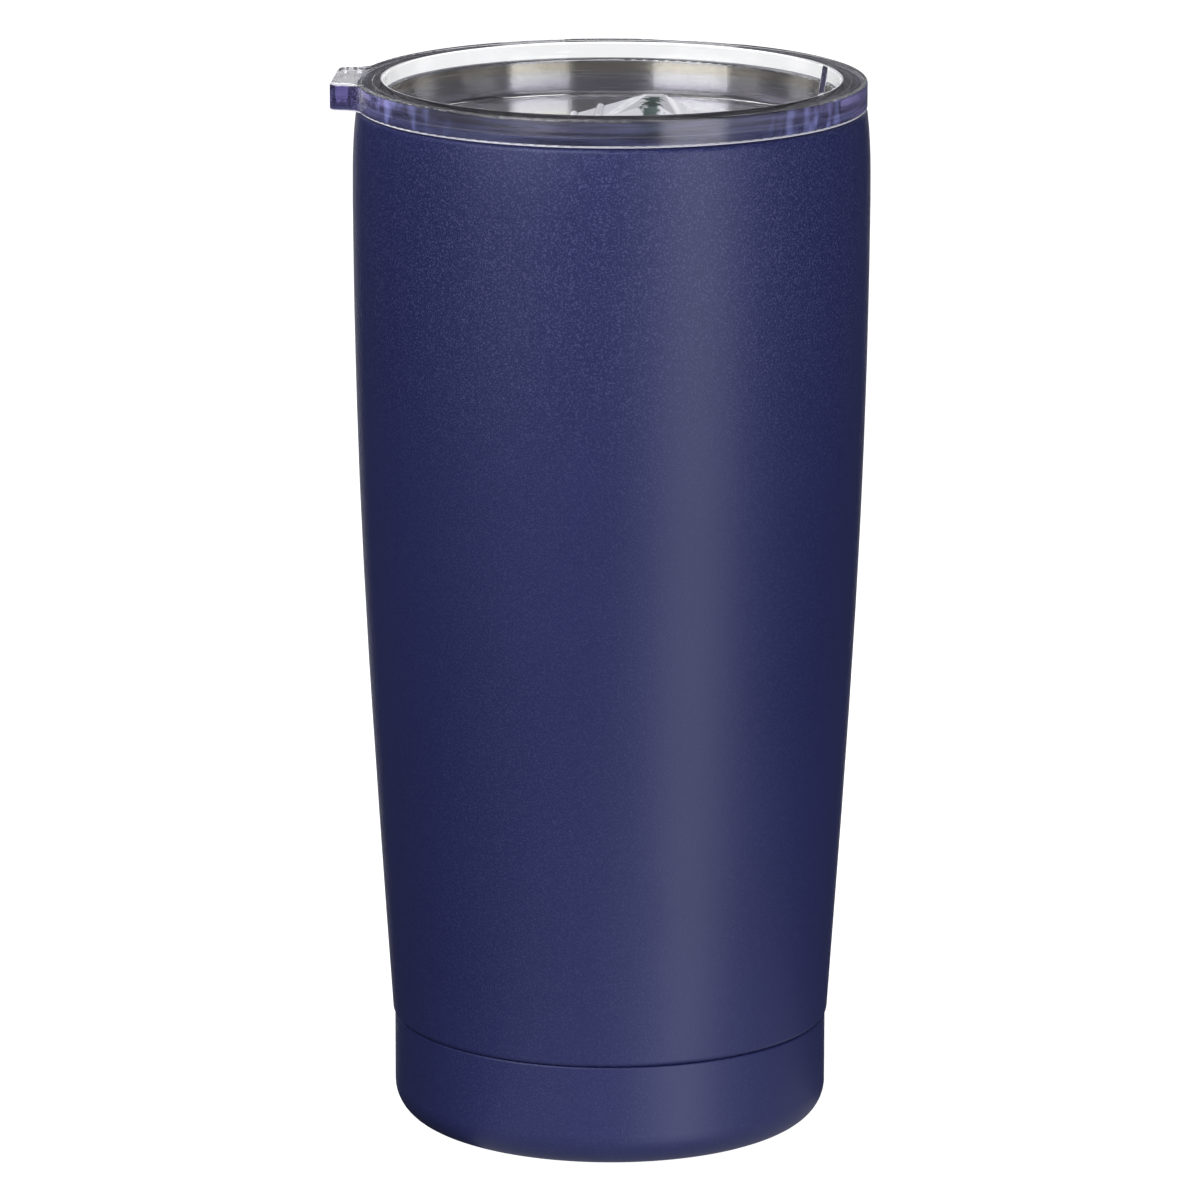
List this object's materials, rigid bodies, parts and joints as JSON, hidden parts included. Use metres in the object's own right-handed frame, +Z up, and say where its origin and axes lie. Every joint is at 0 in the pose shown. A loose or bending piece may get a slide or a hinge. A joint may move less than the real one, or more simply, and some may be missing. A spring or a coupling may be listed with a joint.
{
  "type": "insulated tumbler with lid",
  "caption": "Tall double-wall vacuum drinking tumbler with a tapered coated steel body, a stepped base, and a clear push-in lid with a pull tab and a sliding closure.",
  "frame": {"origin": "centre of the foot ring, on the ground", "axes": "+Z up along the cup's axis, +X towards the drinking side, -X towards the lid's pull tab"},
  "size_m": [0.0894, 0.0862, 0.1779],
  "materials": {
    "navy_coat": "fine-grained satin powder coat",
    "bare_steel": "bare electropolished and brushed stainless steel",
    "copper": "thin bright copper foil",
    "getter_metal": "pressed metal powder",
    "solder_glass": "fused solder glass",
    "clear_plastic": "clear moulded copolyester, polished",
    "silicone": "soft translucent silicone"
  },
  "bodies": {
    "cup": {"outer_shell": "navy_coat", "base_cup": "navy_coat", "base_cover": "bare_steel", "port_seal": "solder_glass", "inner_liner": "bare_steel", "liner_floor": "bare_steel", "copper_foil": "copper", "getter_holder": "bare_steel", "getter_pellet": "getter_metal"},
    "gasket": {"lid_gasket": "silicone"},
    "lid": {"lid_body": "clear_plastic"},
    "closure": {"slider": "clear_plastic", "slider_keeper": "clear_plastic"}
  },
  "joints": [
    {"name": "lid_lift", "type": "slide", "parent": "cup", "child": "gasket", "axis": [0, 0, 1], "range_m": [0, 0.05]},
    {"name": "lid_turn", "type": "hinge", "parent": "gasket", "child": "lid", "pos_m": [0, 0, 0.1656], "axis": [0, 0, 1], "continuous": true},
    {"name": "slider_slide", "type": "slide", "parent": "lid", "child": "closure", "axis": [-1, 0, 0], "range_m": [0, 0.013]}
  ]
}
